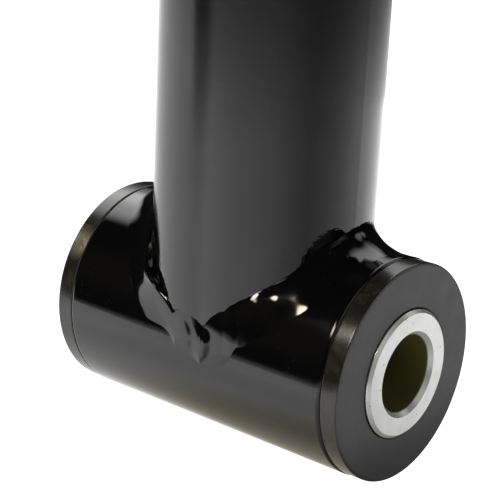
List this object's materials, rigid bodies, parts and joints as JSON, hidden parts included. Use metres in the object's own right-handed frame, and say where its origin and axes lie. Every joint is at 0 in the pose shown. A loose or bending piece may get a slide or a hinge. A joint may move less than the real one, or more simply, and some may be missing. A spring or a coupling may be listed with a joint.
{
  "type": "hydraulic cylinder",
  "caption": "Welded double-acting hydraulic cylinder with a bushed cross tube for a pivot pin at each end and threaded oil ports on one side.",
  "frame": {"origin": "centre of the base pin bore", "axes": "+X along both pivot pins, +Y the way the ports face, +Z along the rod, from the base end to the rod end"},
  "size_m": [0.095, 0.0637, 0.4629],
  "materials": {
    "black_paint": "gloss black powder coat with slight orange peel",
    "bushing_polymer": "dark grey, satin, as machined",
    "zinc_plate": "pale zinc plate over turned steel",
    "chrome_rod": "ground and polished hard chrome",
    "bare_steel": "oiled turned steel",
    "cast_iron": "turned ductile iron",
    "nitrile": "moulded, oily",
    "urethane": "satin, slightly translucent",
    "glass_nylon": "satin, fibre filled",
    "bronze_ptfe": "waxy, bronze filled"
  },
  "bodies": {
    "barrel": {"barrel_tube": "black_paint", "base_plug": "bare_steel", "base_plug_weld": "bare_steel", "base_cross_tube": "black_paint", "base_cross_tube_weld": "black_paint", "base_bushing_left": "bushing_polymer", "base_bushing_right": "bushing_polymer", "base_port_boss": "black_paint", "base_port_weld": "black_paint", "head_port_boss": "black_paint", "head_port_weld": "black_paint", "gland": "black_paint", "gland_o_ring": "nitrile", "gland_backup_ring": "glass_nylon", "rod_guide_ring": "glass_nylon", "rod_seal": "urethane", "rod_wiper": "urethane"},
    "piston_rings": {"piston_wear_ring_lower": "glass_nylon", "piston_wear_ring_upper": "glass_nylon", "piston_seal": "bronze_ptfe", "piston_seal_energiser": "nitrile"},
    "rod": {"rod": "chrome_rod", "piston": "cast_iron", "piston_inner_o_ring": "nitrile", "piston_nut": "bare_steel", "rod_cross_tube": "black_paint", "rod_cross_tube_weld": "black_paint", "rod_bushing_left": "bushing_polymer", "rod_bushing_right": "bushing_polymer"},
    "base_sleeve": {"base_sleeve": "zinc_plate"},
    "rod_sleeve": {"rod_sleeve": "zinc_plate"}
  },
  "joints": [
    {"name": "rod_slide", "type": "slide", "parent": "barrel", "child": "piston_rings", "axis": [0, 0, 1], "range_m": [0, 0.2032]},
    {"name": "rod_turn", "type": "hinge", "parent": "piston_rings", "child": "rod", "pos_m": [0, 0, 0.085], "axis": [0, 0, 1], "continuous": true},
    {"name": "base_sleeve_turn", "type": "hinge", "parent": "barrel", "child": "base_sleeve", "pos_m": [0, 0, 0], "axis": [1, 0, 0], "continuous": true},
    {"name": "rod_sleeve_turn", "type": "hinge", "parent": "rod", "child": "rod_sleeve", "pos_m": [0, 0, 0.4064], "axis": [1, 0, 0], "continuous": true}
  ]
}
